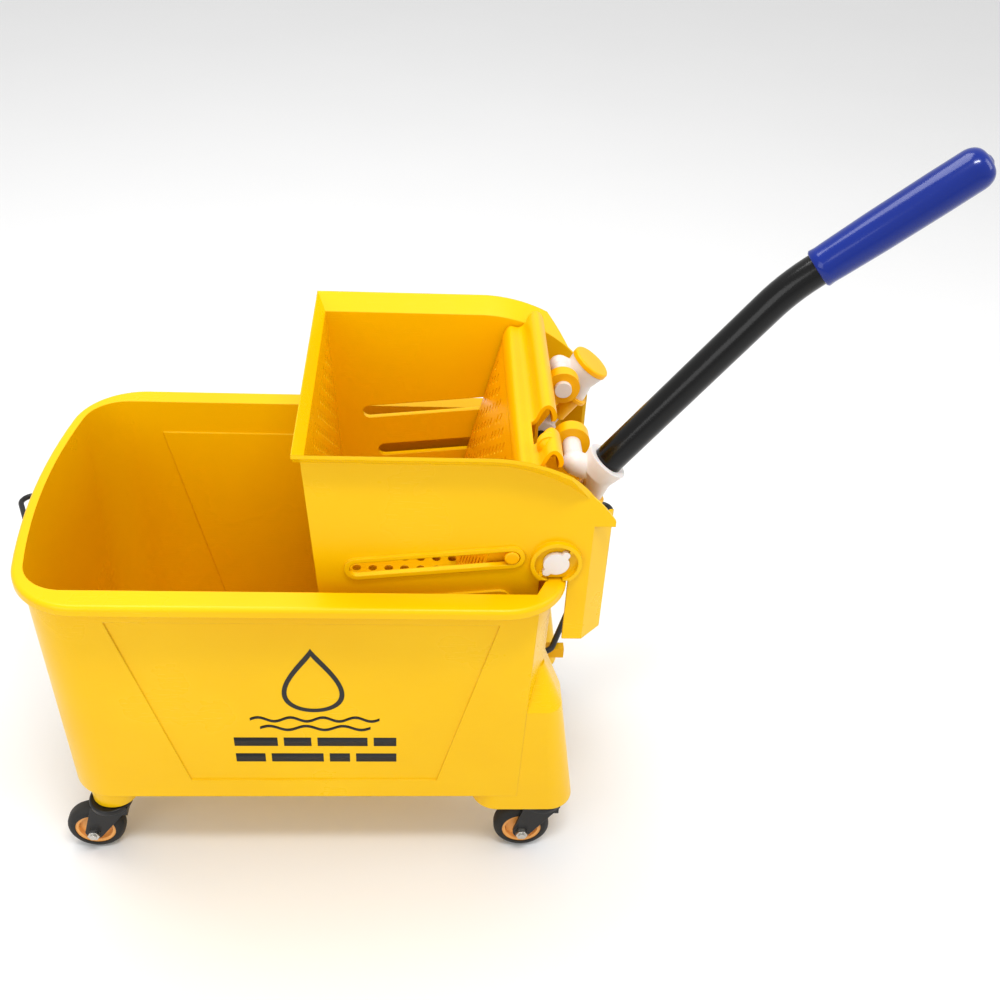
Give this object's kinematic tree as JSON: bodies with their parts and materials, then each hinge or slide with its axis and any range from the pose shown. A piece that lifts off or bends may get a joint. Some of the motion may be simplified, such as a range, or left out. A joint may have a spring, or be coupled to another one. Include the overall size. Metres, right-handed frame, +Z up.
{
  "type": "mop bucket with wringer",
  "caption": "Rectangular mop bucket on swivel casters with a lever-operated side-press wringer over one end and a folding wire bail.",
  "frame": {"origin": "on the floor, under the middle of the whole object's box at rest", "axes": "+X towards the hand lever, +Z up, -Y towards the side with the hand lever's socket"},
  "size_m": [0.8442, 0.4232, 0.7041],
  "materials": {
    "yellow_plastic": "glossy moulded polypropylene with a fine grain",
    "amber_plastic": "glossy moulded plastic",
    "white_nylon": "satin moulded nylon",
    "black_steel": "gloss black powder coat",
    "black_wire": "black plastic-coated wire",
    "blue_grip": "glossy dipped vinyl",
    "black_fork": "satin moulded nylon",
    "tyre_rubber": "matt rubber",
    "orange_hub": "satin moulded plastic",
    "zinc_steel": "bright zinc plate"
  },
  "bodies": {
    "bucket": {"bucket_shell": "yellow_plastic"},
    "bail": {"bail_wire": "black_wire"},
    "wringer": {"wringer_frame": "yellow_plastic", "drain_grid": "yellow_plastic"},
    "press": {"press_plate": "amber_plastic", "guide_pins": "amber_plastic"},
    "lever": {"lever_shaft": "black_steel", "shaft_caps": "white_nylon", "lever_near": "white_nylon", "lever_far": "white_nylon", "lever_sleeve_near": "amber_plastic", "lever_sleeve_far": "amber_plastic", "socket_cap": "amber_plastic", "handle_tube": "black_steel", "handle_grip": "blue_grip"},
    "near_link": {"link_near": "amber_plastic", "link_pin_near": "zinc_steel"},
    "far_link": {"link_far": "amber_plastic", "link_pin_far": "zinc_steel"},
    "caster_front_near": {"caster_fork_front_near": "black_fork", "caster_stem_front_near": "zinc_steel", "caster_axle_bolt_front_near": "zinc_steel", "caster_axle_nut_front_near": "zinc_steel"},
    "wheel_front_near": {"caster_tyre_front_near": "tyre_rubber", "caster_wheel_hub_front_near": "orange_hub"},
    "caster_front_far": {"caster_fork_front_far": "black_fork", "caster_stem_front_far": "zinc_steel", "caster_axle_bolt_front_far": "zinc_steel", "caster_axle_nut_front_far": "zinc_steel"},
    "wheel_front_far": {"caster_tyre_front_far": "tyre_rubber", "caster_wheel_hub_front_far": "orange_hub"},
    "caster_rear_near": {"caster_fork_rear_near": "black_fork", "caster_stem_rear_near": "zinc_steel", "caster_axle_bolt_rear_near": "zinc_steel", "caster_axle_nut_rear_near": "zinc_steel"},
    "wheel_rear_near": {"caster_tyre_rear_near": "tyre_rubber", "caster_wheel_hub_rear_near": "orange_hub"},
    "caster_rear_far": {"caster_fork_rear_far": "black_fork", "caster_stem_rear_far": "zinc_steel", "caster_axle_bolt_rear_far": "zinc_steel", "caster_axle_nut_rear_far": "zinc_steel"},
    "wheel_rear_far": {"caster_tyre_rear_far": "tyre_rubber", "caster_wheel_hub_rear_far": "orange_hub"}
  },
  "joints": [
    {"name": "wringer_lift", "type": "slide", "parent": "bucket", "child": "wringer", "axis": [0, 0, 1], "range_m": [0, 0.2]},
    {"name": "lever_swing", "type": "hinge", "parent": "wringer", "child": "lever", "pos_m": [0.13853, -0.05308, 0.3686], "axis": [0, -1, 0], "range_deg": [0, 75]},
    {"name": "press_slide", "type": "slide", "parent": "wringer", "child": "press", "axis": [-0.9938, 0, -0.1115], "range_m": [0, 0.1]},
    {"name": "near_link_swing", "type": "hinge", "parent": "lever", "child": "near_link", "pos_m": [0.15148, -0.09608, 0.43693], "axis": [0, -1, 0], "range_deg": [-120, 0]},
    {"name": "far_link_swing", "type": "hinge", "parent": "lever", "child": "far_link", "pos_m": [0.15148, -0.01008, 0.43693], "axis": [0, -1, 0], "range_deg": [-120, 0]},
    {"name": "bail_swing", "type": "hinge", "parent": "bucket", "child": "bail", "pos_m": [-0.07577, -0.05308, 0.156], "axis": [1, 0, 0], "range_deg": [0, 56]},
    {"name": "swivel_front_near", "type": "hinge", "parent": "bucket", "child": "caster_front_near", "pos_m": [-0.25777, -0.15708, 0], "axis": [0, 0, 1], "continuous": true},
    {"name": "roll_front_near", "type": "hinge", "parent": "caster_front_near", "child": "wheel_front_near", "pos_m": [-0.27577, -0.15708, 0.027], "axis": [0, 1, 0], "continuous": true},
    {"name": "swivel_front_far", "type": "hinge", "parent": "bucket", "child": "caster_front_far", "pos_m": [-0.25777, 0.05092, 0], "axis": [0, 0, 1], "continuous": true},
    {"name": "roll_front_far", "type": "hinge", "parent": "caster_front_far", "child": "wheel_front_far", "pos_m": [-0.27577, 0.05092, 0.027], "axis": [0, 1, 0], "continuous": true},
    {"name": "swivel_rear_near", "type": "hinge", "parent": "bucket", "child": "caster_rear_near", "pos_m": [0.14923, -0.15708, 0], "axis": [0, 0, 1], "continuous": true},
    {"name": "roll_rear_near", "type": "hinge", "parent": "caster_rear_near", "child": "wheel_rear_near", "pos_m": [0.13123, -0.15708, 0.027], "axis": [0, 1, 0], "continuous": true},
    {"name": "swivel_rear_far", "type": "hinge", "parent": "bucket", "child": "caster_rear_far", "pos_m": [0.14923, 0.05092, 0], "axis": [0, 0, 1], "continuous": true},
    {"name": "roll_rear_far", "type": "hinge", "parent": "caster_rear_far", "child": "wheel_rear_far", "pos_m": [0.13123, 0.05092, 0.027], "axis": [0, 1, 0], "continuous": true}
  ],
  "couplings": [
    {"joint": "press_slide", "follows": "lever_swing", "m_per_rad": 0.076394},
    {"joint": "near_link_swing", "follows": "lever_swing", "ratio": -1.498},
    {"joint": "far_link_swing", "follows": "lever_swing", "ratio": -1.498}
  ]
}
